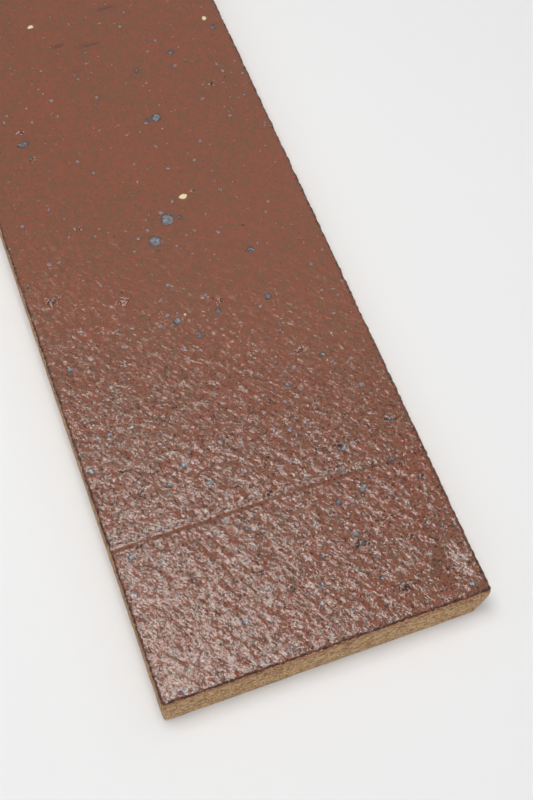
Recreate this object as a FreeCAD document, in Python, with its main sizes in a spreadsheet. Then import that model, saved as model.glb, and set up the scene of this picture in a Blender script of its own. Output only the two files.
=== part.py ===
"""Glazed thin brick: one fired clay slab, glazed on its face, as a parametric FreeCAD document.

Frame: +X across the brick's width, +Y along its length away from its chipped end, +Z up out of
the glazed face. The origin is the centre of the flat back, which the brick lies on. Millimetres.
"""
import FreeCAD, Part
import os
import Sketcher

# One row for each driving size: its name, its value in millimetres, and what it is.
SIZES = [
    ("brick_length", 295.3, "overall length, 11 5/8 in"),
    ("brick_width", 92.1, "overall width, 3 5/8 in"),
    ("brick_thickness", 12.7, "overall thickness, 1/2 in"),
    ("corner_radius", 1.2, "rounding of the four upright corners"),
    ("face_edge_radius", 0.9, "rounding of the glazed face's edges"),
    ("back_edge_radius", 0.4, "softening of the back's edges"),
    ("groove_from_end", 45.6, "chipped end to the bottom of the groove"),
    ("groove_near_run", 1.2, "groove's slope on the chipped end's side, along the length"),
    ("groove_far_run", 1.8, "groove's slope on the far side, along the length"),
    ("groove_depth", 0.4, "depth of the groove below the glazed face"),
    ("chip_run", 4.2, "chipped corner, along the end's bottom edge"),
    ("chip_back", 5.5, "chipped corner, back along the side's bottom edge"),
    ("chip_height", 10.6, "chipped corner, up the end from the back"),
    ("chip_tail", 0.4, "what is left of the chip's section where it runs out"),
]


def make_sheet(doc):
    """Spreadsheet of the driving sizes, each cell with its name as alias."""
    sheet = doc.addObject("Spreadsheet::Sheet", "Sizes")
    for row, (name, value, meaning) in enumerate(SIZES, start=1):
        sheet.set(f"A{row}", name)
        sheet.set(f"B{row}", str(value))
        sheet.setAlias(f"B{row}", name)
        sheet.set(f"C{row}", meaning)
    doc.recompute()
    return sheet


def origin_plane(body, role):
    """The body's own origin plane with this role."""
    return next(feature for feature in body.Origin.OriginFeatures if feature.Role == role)


def new_sketch(body, name, role):
    """Empty sketch of the body on one of its origin planes."""
    sketch = body.newObject("Sketcher::SketchObject", name)
    sketch.AttachmentSupport = [(origin_plane(body, role), "")]
    sketch.MapMode = "FlatFace"
    return sketch


def add_polygon(sketch, points):
    """Closed chain of lines through the points, joined corner to corner."""
    count = len(points)
    corners = [FreeCAD.Vector(x, y, 0) for x, y in points]
    for index in range(count):
        sketch.addGeometry(Part.LineSegment(corners[index], corners[(index + 1) % count]), False)
    for index in range(count):
        sketch.addConstraint(Sketcher.Constraint("Coincident", index, 2, (index + 1) % count, 1))


def place_corner(sketch, line, across, up):
    """Pin a line's first point: its sketch X and Y are bound to the two expressions."""
    for kind, expression in (("DistanceX", across), ("DistanceY", up)):
        constraint = sketch.addConstraint(Sketcher.Constraint(kind, -1, 1, line, 1, 1.0))
        sketch.setExpression(f"Constraints[{constraint}]", expression)


def polygon_sketch(body, name, role, start, corners):
    """Sketch of a polygon whose corners are bound to pairs of expressions."""
    sketch = new_sketch(body, name, role)
    add_polygon(sketch, start)
    for line, (across, up) in enumerate(corners):
        place_corner(sketch, line, across, up)
    return sketch


def add_slab(body):
    """Plain slab on its back, centred on the origin."""
    half_width = "Sizes.brick_width / 2"
    half_length = "Sizes.brick_length / 2"
    outline = polygon_sketch(
        body, "SlabOutline", "XY_Plane",
        [(-40, -140), (40, -140), (40, 140), (-40, 140)],
        [(f"-{half_width}", f"-{half_length}"), (half_width, f"-{half_length}"),
         (half_width, half_length), (f"-{half_width}", half_length)])
    slab = body.newObject("PartDesign::Pad", "Slab")
    slab.Profile = outline
    slab.setExpression("Length", "Sizes.brick_thickness")
    return slab


def edges_where(feature, chosen):
    """Names of the feature's edges whose bounding box the test accepts."""
    return [f"Edge{number}" for number, edge in enumerate(feature.Shape.Edges, start=1)
            if chosen(edge.BoundBox)]


def add_fillet(body, name, base, chosen, radius):
    """Rounding of the base feature's chosen edges."""
    fillet = body.newObject("PartDesign::Fillet", name)
    fillet.Base = (base, edges_where(base, chosen))
    fillet.setExpression("Radius", radius)
    body.Document.recompute()
    return fillet


def add_groove(body):
    """Shallow V across the glazed face, its two slopes of different length."""
    bottom = "-Sizes.brick_length / 2 + Sizes.groove_from_end"
    profile = polygon_sketch(
        body, "GrooveProfile", "YZ_Plane",
        [(-103, 13), (-102, 12), (-100, 13)],
        [(f"{bottom} - Sizes.groove_near_run", "Sizes.brick_thickness"),
         (bottom, "Sizes.brick_thickness - Sizes.groove_depth"),
         (f"{bottom} + Sizes.groove_far_run", "Sizes.brick_thickness")])
    groove = body.newObject("PartDesign::Pocket", "Groove")
    groove.Profile = profile
    groove.SideType = "Symmetric"
    groove.setExpression("Length", "2 * Sizes.brick_width")
    return groove


def add_chip(body):
    """Broken corner under the glaze at the end's right: it runs out along the side."""
    side = "Sizes.brick_width / 2"
    end_section = polygon_sketch(
        body, "ChipAtEnd", "XZ_Plane",
        [(42, 0), (46, 0), (46, 10)],
        [(f"{side} - Sizes.chip_run", "0 mm"), (side, "0 mm"), (side, "Sizes.chip_height")])
    end_section.setExpression("AttachmentOffset.Base.z", "Sizes.brick_length / 2")
    tail_section = polygon_sketch(
        body, "ChipTail", "XZ_Plane",
        [(45, 0), (46, 0), (46, 1)],
        [(f"{side} - Sizes.chip_tail", "0 mm"), (side, "0 mm"), (side, "Sizes.chip_tail")])
    tail_section.setExpression("AttachmentOffset.Base.z", "Sizes.brick_length / 2 - Sizes.chip_back")
    chip = body.newObject("PartDesign::SubtractiveLoft", "Chip")
    chip.Profile = end_section
    chip.Sections = [tail_section]
    chip.Ruled = True
    return chip


def must_cut(body, before, feature):
    """Stop if a cut took nothing away. Returns the volume that is left."""
    body.Document.recompute()
    after = feature.Shape.Volume
    if not after < before:
        raise RuntimeError(f"{feature.Name} cuts nothing")
    return after


def make_brick(doc):
    """The whole brick, one body."""
    body = doc.addObject("PartDesign::Body", "ThinBrick")
    body.Label = "thin_brick"
    slab = add_slab(body)
    doc.recompute()
    top = doc.Sizes.brick_thickness
    corners = add_fillet(body, "Corners", slab, lambda box: box.ZLength > top / 2,
                         "Sizes.corner_radius")
    face_edges = add_fillet(body, "FaceEdges", corners, lambda box: box.ZMin > top / 2,
                            "Sizes.face_edge_radius")
    back_edges = add_fillet(body, "BackEdges", face_edges, lambda box: box.ZMax < top / 100,
                            "Sizes.back_edge_radius")
    volume = back_edges.Shape.Volume
    volume = must_cut(body, volume, add_groove(body))
    must_cut(body, volume, add_chip(body))
    body.Placement = FreeCAD.Placement()
    return body


def check_document(doc):
    """Stop on any object that failed to recompute."""
    for item in doc.Objects:
        if "Invalid" in item.State or "Error" in item.State:
            raise RuntimeError(f"{item.Name}: {item.State}")


def write_part(body):
    """Write one sub-part as parts/LABEL.step."""
    if body.Shape.isNull() or not body.Shape.isValid():
        raise RuntimeError(f"{body.Label}: bad shape")
    if len(body.Shape.Solids) != 1:
        raise RuntimeError(f"{body.Label}: {len(body.Shape.Solids)} solids")
    body.Shape.exportStep(os.path.join("parts", f"{body.Label}.step"))
    box = body.Shape.BoundBox
    print(f"{body.Label}: {box.XLength:.3f} x {box.YLength:.3f} x {box.ZLength:.3f} mm,",
          f"{body.Shape.Volume:.1f} mm3, lowest point {box.ZMin:.4f}")


doc = FreeCAD.newDocument("GlazedThinBrick")
make_sheet(doc)
brick = make_brick(doc)
doc.recompute()
check_document(doc)
os.makedirs("parts", exist_ok=True)
write_part(brick)
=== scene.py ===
import math
from types import SimpleNamespace

import bpy
import numpy as np
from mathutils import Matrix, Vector


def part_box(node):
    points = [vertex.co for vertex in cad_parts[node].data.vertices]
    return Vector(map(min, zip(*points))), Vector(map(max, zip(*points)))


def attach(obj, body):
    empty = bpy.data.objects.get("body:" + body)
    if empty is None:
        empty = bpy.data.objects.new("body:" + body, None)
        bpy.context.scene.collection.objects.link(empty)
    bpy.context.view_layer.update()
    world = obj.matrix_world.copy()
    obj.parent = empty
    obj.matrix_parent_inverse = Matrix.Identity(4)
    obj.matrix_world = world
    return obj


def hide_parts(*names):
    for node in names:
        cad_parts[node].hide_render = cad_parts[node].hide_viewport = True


# A glazed thin brick lying on its back, glazed face up, on a pale studio floor.
# Surface measures are in millimetres until a mesh is made; the scene itself is in metres.
MM = 0.001

NODE = "thin_brick"
SEED = 11

# The brick's edges and cuts, the same as the CAD solid has.
FACE_EDGE_RADIUS = 0.9
CORNER_RADIUS = 1.2
BACK_EDGE_RADIUS = 0.4
GROOVE_FROM_END = 45.6
GROOVE_NEAR_RUN = 1.2
GROOVE_FAR_RUN = 1.8
GROOVE_DEPTH = 0.4
CHIP_RUN = 4.2
CHIP_BACK = 5.5
CHIP_HEIGHT = 10.6

# Mesh density: the glazed face is finest at the groove and by the chipped end.
COLUMN_PITCH = 0.5
GROOVE_REACH = 3.0
GROOVE_PITCH = 0.3
FINE_LENGTH = 110.0
FINE_PITCH = 0.5
COARSE_PITCH = 0.98
FACE_EDGE_ROWS = 4
SIDE_ROWS = 12

# The square that textures are baked to, in millimetres of the brick's face.
BAKE_SQUARE = 209.0
BAKE_GAP = 1.2
BAKE_SIDE_SCALE = 0.84
BAKE_BACK_SCALE = 0.21

# The bumps of the glaze run along the brick, turned towards the chipped corner.
GRAIN_TURN = math.radians(30)

# The camera, which looks down along the brick from beyond its chipped end. Where it aims is
# measured from the brick's near left corner; that and its distance are shares of the width.
CAMERA_HEADING = math.radians(20.14)
CAMERA_TILT = math.radians(61.11)
CAMERA_LENS = 65.12
CAMERA_SENSOR = 36
AIM_ACROSS = 0.6304
AIM_ALONG = 0.8777
CAMERA_DISTANCE = 4.5976

# The stage, in metres: half the floor's side, and its colour.
FLOOR_REACH = 8.0
FLOOR_COLOUR = (0.82, 0.816, 0.818, 1)

# The surroundings: sine of the height above the horizon, and the colour there.
BACKDROP_LOW = (0.50, (0.24, 0.24, 0.24, 1))
BACKDROP_MIDDLE = (0.60, (0.52, 0.53, 0.53, 1))
BACKDROP_TOP = (0.75, (0.19, 0.195, 0.20, 1))

# Colours of the lights that the glaze mirrors, and of those that light matt surfaces.
KEY_COLOUR = (0.975, 1.0, 0.975)
FILL_COLOUR = (1.0, 1.0, 0.995)

# Relief of the glaze: most it rises above its usual level, and how deep its marks are.
GLAZE_HEADROOM = 0.32
TEAR_DEPTH = 0.22
DRAG_DEPTH = 0.20

# Slate flecks in the glaze: across from the left edge, along from the chipped end, width, length.
FLECKS = [
    (58, 182.5, 3.2, 3.4), (55.6, 182.4, 2.6, 1.4), (49, 143.6, 4.2, 4.2), (43, 137.2, 3.8, 4.0),
    (52.8, 143, 1.5, 1.7), (69, 124.5, 2.4, 2.2), (68, 107, 2.0, 2.2), (15.6, 186.4, 4.0, 2.2),
    (40.3, 108, 2.3, 2.2), (44.7, 101, 1.8, 1.7), (52.7, 107.4, 1.7, 2.0), (6.3, 103, 2.0, 2.0),
    (75.8, 83, 1.6, 1.6), (63, 77, 1.7, 1.7), (87.5, 212.5, 1.9, 2.2), (71, 207, 2.1, 2.2),
    (58, 203, 1.8, 2.0), (86, 56.7, 2.8, 1.6), (70.4, 53, 2.4, 2.2), (27.2, 63, 2.5, 2.0),
    (2.6, 70, 1.7, 2.2), (32.3, 55.5, 2.2, 1.6), (21.5, 58.5, 2.2, 1.5), (70.6, 39.2, 1.8, 1.7),
    (63.2, 37.7, 1.9, 2.0), (82, 45.1, 2.0, 1.4), (67, 46.3, 1.5, 1.4), (32, 43.5, 1.6, 1.5),
    (64.2, 27.6, 2.2, 1.6), (5.3, 41.8, 1.8, 1.8), (53.4, 24.5, 1.4, 1.5), (27.6, 14.2, 2.0, 2.1),
    (7, 2.2, 1.9, 1.2), (88, 3.6, 2.2, 1.4), (37, 39, 1.3, 1.3), (66, 13.5, 1.4, 1.4),
    (50, 16.5, 1.2, 1.2), (87, 22, 1.3, 1.4),
]

# Cream grains in the glaze, in the same measures.
GRAINS = [(56.2, 150.1, 2.8, 1.9), (31, 233, 2.6, 1.4), (86, 217, 1.6, 2.0), (43.2, 109.4, 0.9, 0.9)]

# Torn places in the glaze: across, along, half width, half length.
TEARS = [
    (7.7, 127, 1.9, 1.5), (16.6, 180, 1.2, 1.2), (79, 190, 0.9, 0.9), (12.4, 16.3, 1.6, 0.5),
    (44.8, 18.2, 2.4, 0.5), (29.3, 21.2, 1.2, 1.0), (22, 19, 1.0, 0.9), (13.9, 58.4, 1.2, 1.4),
    (64.2, 24.2, 2.4, 1.4), (74.4, 29.2, 2.4, 0.6), (70.5, 9.4, 1.9, 1.5), (78, 21.6, 1.4, 0.8),
    (87, 36.7, 1.2, 1.2), (22.2, 149.4, 1.0, 0.8), (54, 110.6, 1.3, 1.2), (27.5, 120, 1.8, 1.3),
    (70.7, 86.6, 1.9, 1.3), (11, 67.2, 1.6, 0.9), (16, 191.4, 1.0, 0.9), (59.5, 151, 1.3, 0.7),
    (47.5, 46.8, 2.2, 0.9), (86, 57.2, 1.7, 0.9), (69.6, 53.8, 1.5, 1.2), (8, 44, 1.5, 1.2),
    (19, 30, 1.2, 0.9), (60, 35, 1.3, 1.0), (36, 26, 1.2, 1.1), (84, 10, 1.5, 1.2),
]

# Drag marks: across, along, length, turn from straight across in degrees.
DRAGS = [(56.5, 232.4, 9.0, 3.0), (47, 219, 9.0, -3.0), (37, 222, 6.0, 4.0)]

# Swollen and sunken places in the glaze: across, along, half width, half length, height.
SWELLS = [(84.5, 10, 5.5, 9, -0.62), (30, 70, 14, 9, 0.10), (60, 95, 12, 10, 0.10)]


def lattice_noise(x, y, seed):
    """Smooth noise, about -0.7 to 0.7, with one bump for each unit of x and y."""
    size = 512
    angle = np.random.default_rng(seed).uniform(0, 2 * math.pi, (size, size))
    slope_x, slope_y = np.cos(angle), np.sin(angle)
    cell_x, cell_y = np.floor(x).astype(int), np.floor(y).astype(int)
    part_x, part_y = x - cell_x, y - cell_y

    def corner(step_x, step_y):
        column, row = (cell_x + step_x) % size, (cell_y + step_y) % size
        away_x, away_y = part_x - step_x, part_y - step_y
        return slope_x[column, row] * away_x + slope_y[column, row] * away_y

    ease_x = part_x ** 3 * (part_x * (part_x * 6 - 15) + 10)
    ease_y = part_y ** 3 * (part_y * (part_y * 6 - 15) + 10)
    near = corner(0, 0) * (1 - ease_x) + corner(1, 0) * ease_x
    far = corner(0, 1) * (1 - ease_x) + corner(1, 1) * ease_x
    return near * (1 - ease_y) + far * ease_y


def smooth(low, high, value):
    """0 at low, 1 at high, and an even curve between them, whichever of the two is more."""
    part = np.clip((value - low) / (high - low), 0, 1)
    return part * part * (3 - 2 * part)


def with_grain(across, along):
    """The two measures turned so that the second runs along the glaze's grain."""
    turned_across = across * math.cos(GRAIN_TURN) + along * math.sin(GRAIN_TURN)
    turned_along = along * math.cos(GRAIN_TURN) - across * math.sin(GRAIN_TURN)
    return turned_across, turned_along


def inside_spots(across, along, spots):
    """Millimetres inside the outline of the nearest of some oval spots, negative outside."""
    inside = np.full(across.shape, -2.0)
    for centre_across, centre_along, width, length in spots:
        reach_across = (across - centre_across) / (width / 2)
        reach_along = (along - centre_along) / (length / 2)
        reach = np.hypot(reach_across, reach_along)
        inside = np.maximum(inside, (1 - reach) * min(width, length) / 2)
    return inside


def groove_relief(across, along):
    """Depth of the groove across the face, and how strong its torn far lip is from 0 to 1."""
    wander = 0.35 * lattice_noise(across / 17, along * 0, SEED + 1) - 0.7 * smooth(55, 92, across)
    off = along - GROOVE_FROM_END - wander
    far_run = GROOVE_FAR_RUN + 0.9 * lattice_noise(across / 1.1, along * 0, SEED + 2)
    near = np.clip(1 + off / GROOVE_NEAR_RUN, 0, 1)
    far = np.clip(1 - off / far_run, 0, 1)
    fade = 0.75 + 0.5 * lattice_noise(across / 9, along * 0, SEED + 3)
    lip = smooth(0.50, 0.10, np.abs(off - 1.1)) * smooth(85, 55, across)
    return GROOVE_DEPTH * fade * np.minimum(near, far), lip


def tear_relief(across, along):
    """Depth of the torn places, and how torn each point is from 0 to 1."""
    depth = np.zeros(across.shape)
    torn = np.zeros(across.shape)
    ragged = lattice_noise(across / 0.9, along / 0.9, SEED + 4)
    for centre_across, centre_along, half_width, half_length in TEARS:
        reach = np.hypot((across - centre_across) / half_width, (along - centre_along) / half_length)
        inside = smooth(1.1, 0.3, reach + 0.7 * ragged)
        depth = np.maximum(depth, TEAR_DEPTH * inside * (0.5 + ragged))
        torn = np.maximum(torn, np.clip(1.5 - 0.9 * reach, 0, 1))
    return depth, torn


def drag_relief(across, along):
    """How deep each point is in a drag mark, from 0 to 1: thin furrows that fade at both ends."""
    share = np.zeros(across.shape)
    for centre_across, centre_along, length, turn in DRAGS:
        lean = math.radians(turn)
        run = (across - centre_across) * math.cos(lean) + (along - centre_along) * math.sin(lean)
        aside = (along - centre_along) * math.cos(lean) - (across - centre_across) * math.sin(lean)
        ends = smooth(length / 2, length / 5, np.abs(run))
        share = np.maximum(share, ends * smooth(0.9, 0.1, np.abs(aside)))
    return share


def swell_relief(across, along):
    """Height of the broad swollen places, negative in the sunken ones."""
    height = np.zeros(across.shape)
    for centre_across, centre_along, half_width, half_length, rise in SWELLS:
        reach = np.hypot((across - centre_across) / half_width, (along - centre_along) / half_length)
        height += rise * smooth(1.0, 0.0, reach)
    return height


def coarseness(across, along):
    """How strong the glaze's bumps are: 1 by the chipped end, calmer further on and to the right."""
    return 0.42 + 0.58 * smooth(165, 45, along + 0.4 * (across - 46))


def face_relief(across, along):
    """Height of the glaze in millimetres, at most 0, and the shares of each kind of mark."""
    grain_across, grain_along = with_grain(across, along)
    relief = 0.12 * np.abs(lattice_noise(grain_across / 4.0, grain_along / 8.0, SEED + 5))
    relief += 0.12 * np.abs(lattice_noise(grain_across / 1.9, grain_along / 3.8, SEED + 6))
    relief += 0.07 * lattice_noise(grain_across / 1.1, grain_along / 2.2, SEED + 7)
    relief *= coarseness(across, along)
    relief += 0.12 * lattice_noise(across / 31, along / 43, SEED + 8)
    relief += swell_relief(across, along)
    depth, torn = tear_relief(across, along)
    groove, lip = groove_relief(across, along)
    drag = drag_relief(across, along)
    relief -= depth + groove + DRAG_DEPTH * drag
    relief -= 0.07 * smooth(-0.3, 0.5, inside_spots(across, along, FLECKS))
    relief += 0.25 * smooth(-0.2, 0.6, inside_spots(across, along, GRAINS))
    marks = {"torn": torn, "lip": lip, "drag": drag}
    return np.minimum(relief, GLAZE_HEADROOM) - GLAZE_HEADROOM, marks


def outline_point(square, inset, half_width, half_length):
    """Point on the brick's rounded outline, brought in by the inset, for a point on its square one."""
    radius = max(CORNER_RADIUS - inset, 0.05)
    reach = np.array([half_width - inset, half_length - inset])
    flat = np.clip(square, -reach, reach)
    core = np.clip(flat, -(reach - radius), reach - radius)
    away = flat - core
    distance = np.maximum(np.linalg.norm(away, axis=1, keepdims=True), 1e-9)
    return core + away / distance * radius, away / distance


def chip_shift(points, half_width, half_length):
    """Points in the broken corner moved back onto its surface, and which ones they are."""
    from_side = half_width - points[:, 0]
    from_end = points[:, 1] + half_length
    ragged = lattice_noise(points[:, 0] / 1.6 + points[:, 2] / 3, points[:, 2] / 1.9, SEED + 10)
    reach = from_side / CHIP_RUN + from_end / CHIP_BACK + points[:, 2] / CHIP_HEIGHT
    missing = np.clip(1 - reach + 0.10 * ragged, 0, None)
    inward = np.array([-0.6, 0.8, 0.0])
    gain = 0.6 / CHIP_RUN + 0.8 / CHIP_BACK
    near = (from_side < 2 * CHIP_RUN) & (from_end < 2 * CHIP_BACK)
    missing = np.where(near, missing, 0)
    return points + missing[:, None] / gain * inward, smooth(0.0, 0.08, missing)


def spread(start, stop, pitch):
    """Evenly spaced values with about this pitch, both ends included."""
    return np.linspace(start, stop, max(2, int(round((stop - start) / pitch)) + 1))


def side_levels(thickness):
    """Inset and height of each ring of points, from below the face's border to the back."""
    levels = []
    for row in range(1, FACE_EDGE_ROWS + 1):
        turn = math.pi / 2 * row / FACE_EDGE_ROWS
        inset = FACE_EDGE_RADIUS * (1 - math.sin(turn))
        levels.append((inset, thickness - FACE_EDGE_RADIUS * (1 - math.cos(turn))))
    heights = spread(thickness - FACE_EDGE_RADIUS, BACK_EDGE_RADIUS,
                     -(thickness - FACE_EDGE_RADIUS - BACK_EDGE_RADIUS) / SIDE_ROWS)
    levels += [(0.0, height) for height in heights[1:]]
    levels.append((BACK_EDGE_RADIUS * 0.3, BACK_EDGE_RADIUS * 0.3))
    levels.append((BACK_EDGE_RADIUS, 0.0))
    return levels


def face_rows(half_length):
    """Places of the face's rows of points along the brick, closer where there is more to show."""
    groove = GROOVE_FROM_END - half_length
    stops = [-half_length + FACE_EDGE_RADIUS, groove - GROOVE_REACH, groove + GROOVE_REACH,
             FINE_LENGTH - half_length, half_length - FACE_EDGE_RADIUS]
    pitches = [FINE_PITCH, GROOVE_PITCH, FINE_PITCH, COARSE_PITCH]
    stretches = [spread(start, stop, pitch)[:-1]
                 for start, stop, pitch in zip(stops, stops[1:], pitches)]
    return np.concatenate(stretches + [stops[-1:]])


def bake_layout(columns, rows, border_run, step, ring_depth, back):
    """Place of every face corner on the square that textures are baked to, from 0 to 1.

    The glazed face fills most of it as two halves side by side, its sides lie above them as four
    strips, and the back is small beside them. All measures are in millimetres on that square.
    """
    grid = np.meshgrid(np.arange(len(columns) - 1), np.arange(len(rows) - 1))
    column, row = [part.ravel() for part in grid]
    middle = int(np.argmin(np.abs(rows)))
    second = row >= middle
    halves_apart = columns[-1] - columns[0] + BAKE_GAP
    corners = []
    for step_column, step_row in ((0, 0), (1, 0), (1, 1), (0, 1)):
        across = columns[column + step_column] - columns[0] + second * halves_apart
        along = rows[row + step_row] - np.where(second, rows[middle], rows[0])
        corners.append(np.column_stack([across, along]))
    places = [np.stack(corners, axis=1).reshape(-1, 2)]

    strip = (border_run[-1] + step[-1]) / 4
    piece = np.floor(border_run / strip)
    start = border_run - piece * strip
    above = rows[-1] - rows[middle] + 2 * BAKE_GAP
    pitch = ring_depth[-1] * BAKE_SIDE_SCALE + BAKE_GAP
    for upper, lower in zip(ring_depth, ring_depth[1:]):
        corners = []
        for run, depth in ((start, upper), (start, lower), (start + step, lower), (start + step, upper)):
            height = above + piece * pitch + (ring_depth[-1] - depth) * BAKE_SIDE_SCALE
            corners.append(np.column_stack([run, height]))
        places.append(np.stack(corners, axis=1).reshape(-1, 2))

    beside = 2 * halves_apart
    back_across = beside - back[:, 0] * BAKE_BACK_SCALE
    back_along = back[:, 1] * BAKE_BACK_SCALE
    first_corner = [(-back[:, 0].max()) * BAKE_BACK_SCALE, back[:, 1].min() * BAKE_BACK_SCALE]
    places.append(np.column_stack([back_across, back_along]) - first_corner)
    return np.concatenate(places) / BAKE_SQUARE + BAKE_GAP / BAKE_SQUARE / 2


def brick_mesh(width, length, thickness):
    """Vertices, faces and per-vertex measures of the whole brick, in millimetres."""
    half_width, half_length = width / 2, length / 2
    reach_x, reach_y = half_width - FACE_EDGE_RADIUS, half_length - FACE_EDGE_RADIUS
    columns = spread(-reach_x, reach_x, COLUMN_PITCH)
    rows = face_rows(half_length)
    wide, deep = len(columns), len(rows)
    grid_x, grid_y = [part.ravel() for part in np.meshgrid(columns, rows)]
    across, along = grid_x + half_width, grid_y + half_length
    relief, marks = face_relief(across, along)
    face = np.column_stack([grid_x, grid_y, thickness + relief])

    # The face's border, once round, anticlockwise from above.
    index = np.arange(wide * deep).reshape(deep, wide)
    border = np.concatenate([index[0, :-1], index[:-1, -1], index[-1, :0:-1], index[:0:-1, 0]])
    count = len(border)
    scale = np.array([half_width / reach_x, half_length / reach_y])
    square = face[border, :2] * scale

    # Distance round the outline, which side relief follows.
    step = np.linalg.norm(np.roll(square, -1, axis=0) - square, axis=1)
    round_mm = np.concatenate([[0], np.cumsum(step)[:-1]])

    vertices = [face]
    edge_mm = [np.minimum(half_width - np.abs(grid_x), half_length - np.abs(grid_y))]
    border_relief = relief[border]
    for inset, height in side_levels(thickness):
        points, outward = outline_point(square, inset, half_width, half_length)
        down = thickness - height
        nibble = 0.22 + 0.34 * lattice_noise(round_mm / 1.2, round_mm * 0 + down / 2, SEED + 12)
        nibble += 0.22 * lattice_noise(round_mm / 3.7, round_mm * 0 + 0.5, SEED + 13)
        drag = 0.10 + 0.14 * lattice_noise(round_mm / 4.5, round_mm * 0 + height / 0.9, SEED + 14)
        share = smooth(0.8, 2.2, down)
        inward = np.clip(nibble * (1 - share) + drag * share, 0.02, None)
        if height < BACK_EDGE_RADIUS:
            inward = inward * 0.6 + 0.05
        points = points - outward * inward[:, None]
        lift = border_relief * (1 - smooth(0.1, 1.1, down))
        ring = np.column_stack([points, height + lift])
        vertices.append(ring)
        travelled = FACE_EDGE_RADIUS * math.pi / 2 * min(1.0, len(edge_mm) / FACE_EDGE_ROWS)
        below = max(0.0, down - FACE_EDGE_RADIUS)
        edge_mm.append(np.full(count, FACE_EDGE_RADIUS - travelled - below))
    points = np.concatenate(vertices)
    side_start = wide * deep
    border_again = np.tile(border, len(vertices) - 1)
    points[side_start:], broken = chip_shift(points[side_start:], half_width, half_length)

    faces = []
    for row in range(deep - 1):
        low_row, high_row = index[row], index[row + 1]
        faces.append(np.column_stack([low_row[:-1], low_row[1:], high_row[1:], high_row[:-1]]))
    rings = [border] + [side_start + level * count + np.arange(count)
                        for level in range(len(vertices) - 1)]
    for upper, lower in zip(rings, rings[1:]):
        faces.append(np.column_stack([upper, lower, np.roll(lower, -1), np.roll(upper, -1)]))
    quads = np.concatenate(faces)

    edge = np.concatenate(edge_mm)
    ring_across = points[side_start:, 0] + half_width
    ring_along = points[side_start:, 1] + half_length
    all_across = np.concatenate([across, ring_across])
    all_along = np.concatenate([along, ring_along])
    measures = {
        "edge": edge,
        "fleck": inside_spots(all_across, all_along, FLECKS),
        "grain": inside_spots(all_across, all_along, GRAINS),
        "coarse": coarseness(all_across, all_along),
        "broken": np.concatenate([np.zeros(side_start), broken]),
    }
    for name, share in marks.items():
        measures[name] = np.concatenate([share, share[border_again]])
    back = rings[-1][::-1]
    ring_depth = FACE_EDGE_RADIUS - np.array([FACE_EDGE_RADIUS] + [ring[0] for ring in edge_mm[1:]])
    layout = bake_layout(columns, rows, round_mm, step, ring_depth, points[back, :2])
    return points, quads, back, measures, layout


def make_brick(low, high):
    """The glazed brick as one mesh object."""
    width, length, thickness = [(high[axis] - low[axis]) / MM for axis in range(3)]
    points, quads, back, measures, layout = brick_mesh(width, length, thickness)
    centre = np.array([(low[0] + high[0]) / 2, (low[1] + high[1]) / 2, low[2]])
    mesh = bpy.data.meshes.new("glazed_brick")
    faces = quads.tolist()
    faces.append(back.tolist())
    mesh.from_pydata((points * MM + centre).tolist(), [], faces)
    mesh.update()
    for name, values in measures.items():
        layer = mesh.attributes.new(name, "FLOAT", "POINT")
        layer.data.foreach_set("value", values.astype(np.float32))
    mesh.uv_layers.new(name="OFBake").data.foreach_set("uv", layout.ravel().astype(np.float32))
    mesh.polygons.foreach_set("use_smooth", [True] * len(quads) + [False])
    brick = bpy.data.objects.new("glazed_brick", mesh)
    bpy.context.scene.collection.objects.link(brick)
    return brick


def linear(red, green, blue):
    """Scene colour for an 8-bit screen colour."""
    parts = []
    for value in (red, green, blue):
        part = value / 255
        parts.append(part / 12.92 if part <= 0.04045 else ((part + 0.055) / 1.055) ** 2.4)
    return (*parts, 1.0)


# Colours of the glaze and its marks, then of the clay.
OLIVE_GLAZE = linear(115, 81, 60)
RED_GLAZE = linear(139, 78, 59)
DARK_DUST = linear(68, 54, 46)
# Painted shade for the creases between bump facets.
CREASE_SHADE = linear(44, 30, 28)
AMBER = linear(205, 146, 84)
DARK_SLATE = linear(66, 64, 68)
PALE_SLATE = linear(132, 137, 144)
FLECK_RIM = linear(62, 56, 56)
GRAIN_RIM = linear(128, 92, 60)
CREAM = linear(234, 218, 180)
# Torn places: pale lobes partly painted highlight, black cracks painted shade.
TORN_LOBE_AND_GLINT = linear(196, 160, 146)
TORN_CREVICE_SHADE = linear(40, 30, 34)
# Painted highlight on the groove's far lip, and painted shade in its teeth.
LIP_HIGHLIGHT = linear(190, 162, 148)
LIP_TEETH_SHADE = linear(44, 34, 34)
DRAG_MARK = linear(74, 58, 50)
# Painted shade in the glaze's pits.
PIT_SHADE = linear(56, 42, 38)
EDGE_LINE = linear(58, 38, 36)
DARK_CLAY = linear(134, 94, 60)
PALE_CLAY = linear(214, 178, 130)
CLAY_STREAK = linear(226, 190, 146)
RUST_DASH = linear(118, 58, 42)
# Painted shade in the clay's pits.
CLAY_PIT_SHADE = linear(66, 50, 42)
CLAY_BLUSH = linear(140, 80, 56)
BROKEN_CLAY = linear(116, 66, 44)


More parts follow.
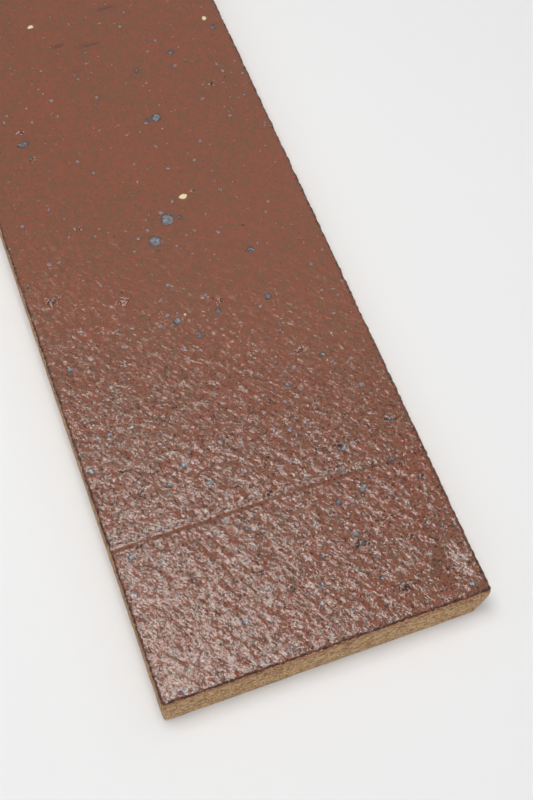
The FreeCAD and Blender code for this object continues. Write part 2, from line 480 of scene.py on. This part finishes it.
class Shader:
    """Short ways to add linked nodes to one material."""

    def __init__(self, name):
        self.material = bpy.data.materials.new(name)
        self.material.use_nodes = True
        self.tree = self.material.node_tree
        self.principled = self.tree.nodes["Principled BSDF"]

    def add(self, kind, settings=None, **inputs):
        """Node of this kind. An input, by name or as i and its number, gets a socket or a value."""
        node = self.tree.nodes.new(kind)
        for key, value in (settings or {}).items():
            setattr(node, key, value)
        for key, value in inputs.items():
            numbered = key[0] == "i" and key[1:].isdigit()
            self.feed(node.inputs[int(key[1:]) if numbered else key], value)
        return node

    def feed(self, socket, value):
        if isinstance(value, bpy.types.NodeSocket):
            self.tree.links.new(value, socket)
        else:
            socket.default_value = value

    def math(self, operation, first, second=0.0, third=0.0):
        node = self.add("ShaderNodeMath", {"operation": operation}, i0=first, i1=second, i2=third)
        return node.outputs[0]

    def noise(self, vector, scale, detail=2.0, roughness=0.5):
        node = self.add("ShaderNodeTexNoise", None, Vector=vector, Scale=scale, Detail=detail,
                        Roughness=roughness)
        return node.outputs["Fac"]

    def ramp(self, value, low, high):
        """Smooth step of the value from low to high."""
        node = self.add("ShaderNodeMapRange", {"interpolation_type": "SMOOTHSTEP"}, Value=value)
        node.inputs["From Min"].default_value = low
        node.inputs["From Max"].default_value = high
        return node.outputs["Result"]

    def mix(self, share, first, second):
        node = self.add("ShaderNodeMix", {"data_type": "RGBA"})
        self.feed(node.inputs[0], share)
        self.feed(node.inputs[6], first)
        self.feed(node.inputs[7], second)
        return node.outputs[2]

    def blend(self, share, first, second):
        node = self.add("ShaderNodeMix", {"data_type": "FLOAT"})
        self.feed(node.inputs[0], share)
        self.feed(node.inputs[2], first)
        self.feed(node.inputs[3], second)
        return node.outputs[0]

    def attribute(self, name):
        return self.add("ShaderNodeAttribute", {"attribute_name": name}).outputs["Fac"]

    def cells(self, vector, size, offset):
        """Voronoi cells of this size: distance in millimetres, and two random values a cell."""
        moved = self.add("ShaderNodeVectorMath", {"operation": "ADD"}, i0=vector, i1=offset)
        node = self.add("ShaderNodeTexVoronoi", None, Vector=moved.outputs[0], Scale=1 / size)
        split = self.add("ShaderNodeSeparateColor", None, Color=node.outputs["Color"])
        distance = self.math("MULTIPLY", node.outputs["Distance"], size)
        return distance, split.outputs[0], split.outputs[1]

    def facets(self, vector, size):
        """Height of flat facets that each tilt their own way, and the distance to their borders."""
        near = self.add("ShaderNodeTexVoronoi", None, Vector=vector, Scale=1 / size)
        edges = self.add("ShaderNodeTexVoronoi", {"feature": "DISTANCE_TO_EDGE"}, Vector=vector,
                         Scale=1 / size)
        away = self.add("ShaderNodeVectorMath", {"operation": "SUBTRACT"}, i0=vector,
                        i1=near.outputs["Position"])
        tilt = self.add("ShaderNodeVectorMath", {"operation": "SUBTRACT"}, i0=near.outputs["Color"],
                        i1=(0.5, 0.5, 0.5))
        height = self.add("ShaderNodeVectorMath", {"operation": "DOT_PRODUCT"}, i0=away.outputs[0],
                          i1=tilt.outputs[0])
        return height.outputs["Value"], edges.outputs["Distance"]

    def specks(self, vector, size, offset, share, small, large, soft):
        """Mask of round specks in a share of the cells, their radius from small to large."""
        distance, pick, spread_value = self.cells(vector, size, offset)
        radius = self.math("MULTIPLY_ADD", spread_value, large - small, small)
        inside = self.ramp(self.math("SUBTRACT", radius, distance), 0.0, soft)
        chosen = self.math("LESS_THAN", pick, share)
        return self.math("MULTIPLY", inside, chosen)


def brick_patterns(shader):
    """Coordinates in millimetres, the mesh's measures, and the noises that several layers share."""
    place = shader.add("ShaderNodeTexCoord").outputs["Object"]
    point = shader.add("ShaderNodeVectorMath", {"operation": "SCALE"}, i0=place, Scale=1 / MM).outputs[0]
    grained = shader.add("ShaderNodeMapping", {"vector_type": "TEXTURE"}, Vector=point,
                         Rotation=(0, 0, GRAIN_TURN), Scale=(1, 2, 1)).outputs[0]
    layered = shader.add("ShaderNodeMapping", None, Vector=point, Scale=(0.42, 0.42, 0.75)).outputs[0]
    swirl = shader.add("ShaderNodeTexNoise", None, Vector=point, Scale=1.3, Detail=2.0)
    centred = shader.add("ShaderNodeVectorMath", {"operation": "SUBTRACT"}, i0=swirl.outputs["Color"],
                         i1=(0.5, 0.5, 0.5)).outputs[0]
    bent = shader.add("ShaderNodeVectorMath", {"operation": "MULTIPLY_ADD"}, i0=centred,
                      i1=(1.3, 1.3, 1.3), i2=point).outputs[0]
    bent_grain = shader.add("ShaderNodeMapping", {"vector_type": "TEXTURE"}, Vector=bent,
                            Rotation=(0, 0, GRAIN_TURN), Scale=(1, 2, 1)).outputs[0]
    facets, rift = shader.facets(bent_grain, 0.60)
    flakes, _ = shader.facets(bent_grain, 0.42)
    measures = {name: shader.attribute(name)
                for name in ("edge", "fleck", "grain", "torn", "lip", "drag", "broken", "coarse")}
    # Painted shade: dark lines along the borders of the bump facets, where the glaze is roughest.
    crease_shade = shader.math("MULTIPLY", shader.ramp(rift, 0.25, 0.09),
                        shader.ramp(measures["coarse"], 0.65, 1.0))
    return SimpleNamespace(
        point=point, grained=grained, bent=bent, facets=facets, crease_shade=crease_shade, flakes=flakes,
        ripple=shader.noise(grained, 0.50, 2.0, 0.5),
        fine=shader.noise(point, 1.5, 2.0, 0.6),
        middle=shader.noise(point, 0.33, 3.0, 0.6),
        broad=shader.noise(point, 0.05, 2.0, 0.5),
        ragged=shader.noise(point, 1.1, 3.0, 0.7),
        crumple=shader.noise(bent, 1.2, 1.0, 0.5),
        sand=shader.noise(point, 1.5, 4.0, 0.75),
        streak=shader.noise(layered, 1.3, 3.0, 0.6),
        pits=shader.specks(bent, 5.2, (4.0, 3.0, 0.0), 0.42, 0.25, 0.65, 0.50),
        nicks=shader.specks(bent, 3.2, (6.0, 2.0, 0.0), 0.50, 0.15, 0.50, 0.40),
        clay_pits=shader.specks(point, 2.6, (2.0, 9.0, 4.0), 0.20, 0.14, 0.50, 0.14),
        **measures)


def glaze_colour(shader, has):
    """Red and olive brown glaze with dust, specks, flecks, grains, torn places and pits; painted shade
    in creases, crevices, teeth and pits, and painted highlight on torn lobes and the groove's lip.
    """
    mottle = shader.math("MULTIPLY_ADD", has.broad, 0.15, has.fine)
    mottle = shader.math("MULTIPLY_ADD", has.middle, 0.35, mottle)
    colour = shader.mix(shader.ramp(mottle, 0.62, 0.88), OLIVE_GLAZE, RED_GLAZE)
    dust = shader.specks(has.point, 0.9, (3.0, 7.0, 0.0), 0.46, 0.08, 0.30, 0.12)
    colour = shader.mix(shader.math("MULTIPLY", dust, 0.6), colour, DARK_DUST)
    # Painted shade in the creases between bump facets, in patches.
    crease_shade = shader.math("MULTIPLY", has.crease_shade, shader.ramp(has.ragged, 0.52, 0.60))
    colour = shader.mix(shader.math("MULTIPLY", crease_shade, 0.9), colour, CREASE_SHADE)
    amber = shader.specks(has.bent, 3.7, (1.0, 2.0, 0.0), 0.24, 0.12, 0.38, 0.15)
    colour = shader.mix(amber, colour, AMBER)

    # Slate flecks: large ones from the mesh, small ones from cells.
    wobble = shader.math("MULTIPLY_ADD", has.ragged, 1.2, -0.6)
    large = shader.math("ADD", has.fleck, wobble)
    small = shader.specks(has.bent, 3.2, (5.0, 1.0, 0.0), 0.60, 0.24, 0.66, 0.16)
    tiny = shader.specks(has.bent, 2.2, (8.0, 4.0, 0.0), 0.28, 0.16, 0.38, 0.20)
    slate_mask = shader.math("MAXIMUM", shader.ramp(large, -0.04, 0.16), small)
    slate_mask = shader.math("MAXIMUM", slate_mask, shader.math("MULTIPLY", tiny, 0.75))
    grey = shader.noise(has.point, 1.5, 3.0, 0.7)
    slate_tone = shader.math("MULTIPLY_ADD", shader.ramp(large, 0.0, 0.9), 0.14, grey)
    slate_tone = shader.math("MULTIPLY_ADD", shader.math("MAXIMUM", small, tiny), 0.22, slate_tone)
    slate = shader.mix(shader.ramp(slate_tone, 0.42, 0.76), DARK_SLATE, PALE_SLATE)
    rim = shader.math("MULTIPLY", shader.ramp(large, -0.25, 0.0), shader.ramp(large, 0.35, 0.1))
    colour = shader.mix(shader.math("MULTIPLY", slate_mask, 0.9), colour, slate)
    colour = shader.mix(shader.math("MULTIPLY", rim, 0.5), colour, FLECK_RIM)
    cream = shader.math("MULTIPLY_ADD", wobble, 0.4, has.grain)
    colour = shader.mix(shader.ramp(cream, -0.30, -0.10), colour, GRAIN_RIM)
    colour = shader.mix(shader.ramp(cream, -0.04, 0.14), colour, CREAM)

    # Torn places: pale lobes, partly thin glaze and partly a painted highlight, between black cracks of
    # painted shade in their crevices.
    patchy = shader.noise(has.point, 0.6, 3.0, 0.7)
    torn = shader.ramp(shader.math("MULTIPLY_ADD", patchy, 3.2, has.torn), 2.15, 2.30)
    lobes_and_glint = shader.math("MULTIPLY", torn, shader.ramp(has.crumple, 0.52, 0.60))
    crevice_shade = shader.math("MULTIPLY", torn, shader.ramp(has.crumple, 0.49, 0.45))
    colour = shader.mix(shader.math("MULTIPLY", lobes_and_glint, 0.65), colour, TORN_LOBE_AND_GLINT)
    colour = shader.mix(shader.math("MULTIPLY", crevice_shade, 0.9), colour, TORN_CREVICE_SHADE)

    # The groove's lip with a painted highlight on its far wall and painted shade in its dark teeth, the
    # drag marks, and the pits.
    colour = shader.mix(shader.math("MULTIPLY", has.lip, 0.45), colour, LIP_HIGHLIGHT)
    teeth_shade = shader.math("MULTIPLY", has.lip, shader.ramp(has.crumple, 0.49, 0.43))
    colour = shader.mix(teeth_shade, colour, LIP_TEETH_SHADE)
    colour = shader.mix(shader.math("MULTIPLY", has.drag, 0.6), colour, DRAG_MARK)
    # Painted shade in the pits.
    pit_shade = shader.ramp(has.pits, 0.45, 0.95)
    colour = shader.mix(shader.math("MULTIPLY", pit_shade, 0.7), colour, PIT_SHADE)

    # The glaze thins to a dark purple-brown line along the edge of the face.
    near_edge = shader.math("MULTIPLY_ADD", shader.noise(has.point, 0.8, 3.0, 0.7), 4.6, has.edge)
    dark_edge = shader.ramp(near_edge, 3.3, 2.8)
    colour = shader.mix(shader.math("MULTIPLY", dark_edge, 0.85), colour, EDGE_LINE)
    return colour, slate_mask, torn


def clay_colour(shader, has):
    """Buff clay with sandy grain, rust dashes and pits with painted shade, redder by the glaze and where
    it is broken.
    """
    colour = shader.mix(shader.ramp(has.sand, 0.40, 0.60), DARK_CLAY, PALE_CLAY)
    colour = shader.mix(shader.math("MULTIPLY", shader.ramp(has.streak, 0.50, 0.66), 0.35), colour,
                        CLAY_STREAK)
    dash = shader.math("MULTIPLY", shader.ramp(has.streak, 0.47, 0.41),
                       shader.ramp(has.ragged, 0.42, 0.50))
    dash_share = shader.blend(shader.ramp(has.edge, -10.0, -2.0), 0.30, 0.80)
    colour = shader.mix(shader.math("MULTIPLY", dash, dash_share), colour, RUST_DASH)
    # Painted shade in the clay's pits.
    colour = shader.mix(shader.math("MULTIPLY", has.clay_pits, 0.85), colour, CLAY_PIT_SHADE)
    blush = shader.ramp(shader.math("MULTIPLY_ADD", has.streak, 3.0, has.edge), -1.4, 1.7)
    colour = shader.mix(shader.math("MULTIPLY", blush, 0.5), colour, CLAY_BLUSH)
    broken = shader.math("MULTIPLY", has.broken, shader.ramp(has.ragged, 0.34, 0.60))
    return shader.mix(shader.math("MULTIPLY", broken, 0.8), colour, BROKEN_CLAY)


def glaze_height(shader, has, torn):
    """Relief of the glaze too fine for the mesh, in millimetres."""
    grit = shader.noise(has.grained, 3.4, 1.5, 0.6)
    height = shader.math("MULTIPLY", has.facets, 0.26)
    height = shader.math("MULTIPLY_ADD", has.flakes, 0.16, height)
    height = shader.math("MULTIPLY_ADD", has.ripple, 0.30, height)
    height = shader.math("MULTIPLY_ADD", grit, 0.012, height)
    rough_share = shader.math("MULTIPLY_ADD", has.lip, -0.7, 1.0)
    height = shader.math("MULTIPLY", height, shader.math("MULTIPLY", has.coarse, rough_share))
    crumbs = shader.math("SUBTRACT", has.crumple, 0.5)
    height = shader.math("MULTIPLY_ADD", shader.math("MULTIPLY", crumbs, torn), 0.7, height)
    height = shader.math("MULTIPLY_ADD", shader.math("MULTIPLY", crumbs, has.lip), 0.6, height)
    height = shader.math("MULTIPLY_ADD", has.nicks, 0.20, height)
    return shader.math("MULTIPLY_ADD", has.pits, -0.28, height)


def clay_height(shader, has):
    """Relief of the clay too fine for the mesh, in millimetres."""
    height = shader.math("MULTIPLY", has.sand, 0.14)
    height = shader.math("MULTIPLY_ADD", has.streak, 0.16, height)
    return shader.math("MULTIPLY_ADD", has.clay_pits, -0.35, height)


def brick_material():
    """Speckled red-brown glaze on the face, streaked buff clay below its edge."""
    shader = Shader("fired_brick")
    has = brick_patterns(shader)
    border = shader.math("MULTIPLY_ADD", has.ragged, 1.2, has.edge)
    glazed = shader.ramp(border, 0.60, 0.72)

    glaze, slate_mask, torn = glaze_colour(shader, has)
    clay = clay_colour(shader, has)
    shader.feed(shader.principled.inputs["Base Color"], shader.mix(glazed, clay, glaze))

    # Gloss: satin glaze with smoother and duller patches, matt clay.
    dull = shader.ramp(shader.noise(has.grained, 1.0, 2.0, 0.6), 0.46, 0.62)
    gloss = shader.math("MULTIPLY_ADD", has.middle, 0.10, 0.05)
    gloss = shader.math("MULTIPLY_ADD", dull, 0.10, gloss)
    gloss = shader.math("MULTIPLY_ADD", slate_mask, 0.08, gloss)
    rough = shader.blend(glazed, 0.88, gloss)
    shader.feed(shader.principled.inputs["Roughness"], rough)
    shader.principled.inputs["IOR"].default_value = 1.6

    height = shader.blend(glazed, clay_height(shader, has), glaze_height(shader, has, torn))
    bump = shader.add("ShaderNodeBump", None, Height=height, Strength=1.0, Distance=MM)
    shader.feed(shader.principled.inputs["Normal"], bump.outputs["Normal"])
    return shader.material


def make_floor():
    """Plain pale floor."""
    reach = FLOOR_REACH
    mesh = bpy.data.meshes.new("floor")
    corners = [(-reach, -reach, 0), (reach, -reach, 0), (reach, reach, 0), (-reach, reach, 0)]
    mesh.from_pydata(corners, [], [(0, 1, 2, 3)])
    floor = bpy.data.objects.new("floor", mesh)
    bpy.context.scene.collection.objects.link(floor)
    shader = Shader("pale_floor")
    shader.principled.inputs["Base Color"].default_value = FLOOR_COLOUR
    shader.principled.inputs["Roughness"].default_value = 0.9
    shader.principled.inputs["Specular IOR Level"].default_value = 0.1
    mesh.materials.append(shader.material)


def make_world():
    """Soft surroundings: grey up to 30 degrees above the horizon, palest at 37, darker from 49."""
    world = bpy.data.worlds.new("studio")
    world.use_nodes = True
    tree = world.node_tree
    background = tree.nodes["Background"]
    place = tree.nodes.new("ShaderNodeTexCoord")
    split = tree.nodes.new("ShaderNodeSeparateXYZ")
    ramp = tree.nodes.new("ShaderNodeValToRGB")
    tree.links.new(place.outputs["Generated"], split.inputs[0])
    tree.links.new(split.outputs["Z"], ramp.inputs[0])
    tree.links.new(ramp.outputs[0], background.inputs["Color"])
    stops = ramp.color_ramp.elements
    stops[0].position, stops[0].color = BACKDROP_LOW
    stops[1].position, stops[1].color = BACKDROP_TOP
    stops.new(BACKDROP_MIDDLE[0]).color = BACKDROP_MIDDLE[1]
    background.inputs["Strength"].default_value = 1.0
    bpy.context.scene.world = world


def make_light(name, place, target, size, power, colour=FILL_COLOUR, mirrored=False, lights=True):
    """Soft light aimed at a point, which is mirrored, or lights matt surfaces, or both."""
    lamp = bpy.data.lights.new(name, "AREA")
    lamp.shape = "RECTANGLE"
    lamp.size, lamp.size_y = size
    lamp.energy = power
    lamp.color = colour
    light = bpy.data.objects.new(name, lamp)
    light.location = place
    light.visible_glossy = mirrored
    light.visible_diffuse = lights
    light.rotation_euler = (Vector(target) - Vector(place)).to_track_quat("-Z", "Y").to_euler()
    bpy.context.scene.collection.objects.link(light)


def make_camera(low, width):
    """Camera that looks down along the brick from beyond its chipped end."""
    target = Vector((low[0] + AIM_ACROSS * width, low[1] + AIM_ALONG * width, low[2]))
    forward = Vector((math.sin(CAMERA_HEADING) * math.cos(CAMERA_TILT),
                      math.cos(CAMERA_HEADING) * math.cos(CAMERA_TILT),
                      -math.sin(CAMERA_TILT)))
    data = bpy.data.cameras.new("camera")
    data.lens = CAMERA_LENS
    data.sensor_width = CAMERA_SENSOR
    camera = bpy.data.objects.new("camera", data)
    camera.location = target - forward * CAMERA_DISTANCE * width
    camera.rotation_euler = forward.to_track_quat("-Z", "Y").to_euler()
    bpy.context.scene.collection.objects.link(camera)
    bpy.context.scene.camera = camera


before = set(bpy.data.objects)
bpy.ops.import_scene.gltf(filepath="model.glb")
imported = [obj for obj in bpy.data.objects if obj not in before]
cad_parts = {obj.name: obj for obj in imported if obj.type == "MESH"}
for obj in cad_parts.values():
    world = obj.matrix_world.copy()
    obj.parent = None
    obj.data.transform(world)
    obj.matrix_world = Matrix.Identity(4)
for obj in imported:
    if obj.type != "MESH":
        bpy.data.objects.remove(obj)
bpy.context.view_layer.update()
low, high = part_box(NODE)

brick = make_brick(low, high)
brick.data.materials.append(brick_material())
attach(brick, "root")
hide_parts(NODE)

make_floor()
make_world()
make_light("softbox", (-0.08, -0.01, 0.62), (-0.08, -0.009, 0.0), (0.28, 0.32), 2.45,
           colour=KEY_COLOUR, mirrored=True, lights=False)
make_light("sheen", (-0.13, 0.24, 0.62), (-0.13, 0.241, 0.0), (0.14, 0.20), 0.27,
           colour=KEY_COLOUR, mirrored=True, lights=False)
make_light("overhead", (-0.08, -0.01, 0.66), (-0.08, -0.009, 0.0), (0.28, 0.32), 1.75)
make_light("sky_fill", (0.1, -0.2, 2.2), (0.0, 0.0, 0.0), (1.2, 1.2), 13.5)
make_light("right_fill", (2.4, 1.2, 2.8), (0.0, 0.1, 0.0), (2.0, 2.0), 9.0)
make_light("left_fill", (-2.4, 0.6, 2.8), (0.0, 0.1, 0.0), (2.0, 2.0), 2.5)
make_light("front_fill", (-0.6, -2.4, 2.0), (0.0, 0.0, 0.0), (2.0, 2.0), 22.5)
make_camera(low, high[0] - low[0])
bpy.context.scene.view_settings.view_transform = "Standard"
